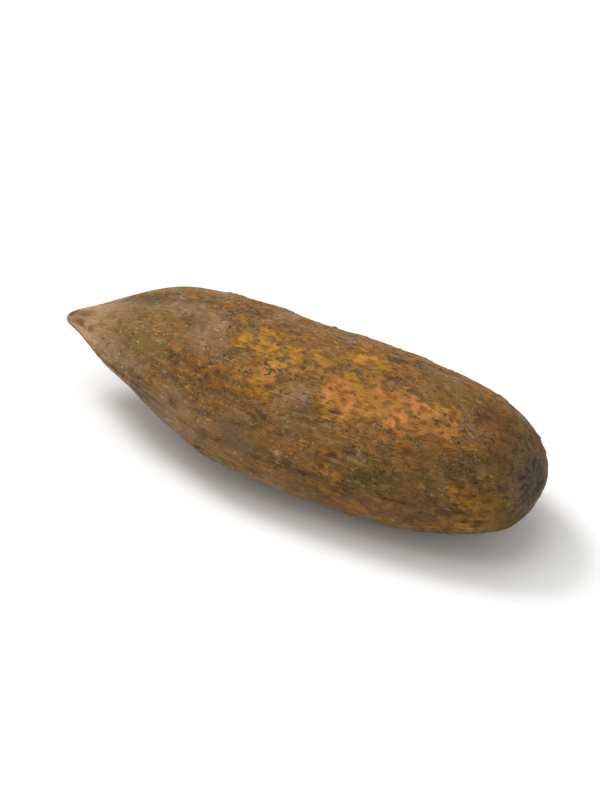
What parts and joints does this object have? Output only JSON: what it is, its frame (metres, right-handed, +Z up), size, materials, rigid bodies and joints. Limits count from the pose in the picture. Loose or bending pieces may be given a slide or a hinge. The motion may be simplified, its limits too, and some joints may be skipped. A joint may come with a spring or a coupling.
{
  "type": "chilgoza pine nut",
  "caption": "Whole unopened pine nut in its shell: a slender body with a keeled beak at one end and a rounded base at the other, lying on a small flat spot.",
  "frame": {"origin": "middle of the bottom of the nut's box, on the surface that the nut lies on", "axes": "+Z up, +X along the nut from its beak to its rounded base, Y across it"},
  "size_m": [0.0205, 0.0068, 0.0061],
  "materials": {
    "nutshell": "dry, matt woody shell: grey-brown papery coat over ochre and rust patches, with fine dark specks and a paler beak"
  },
  "bodies": {
    "root": {"nut": "nutshell"}
  },
  "joints": []
}
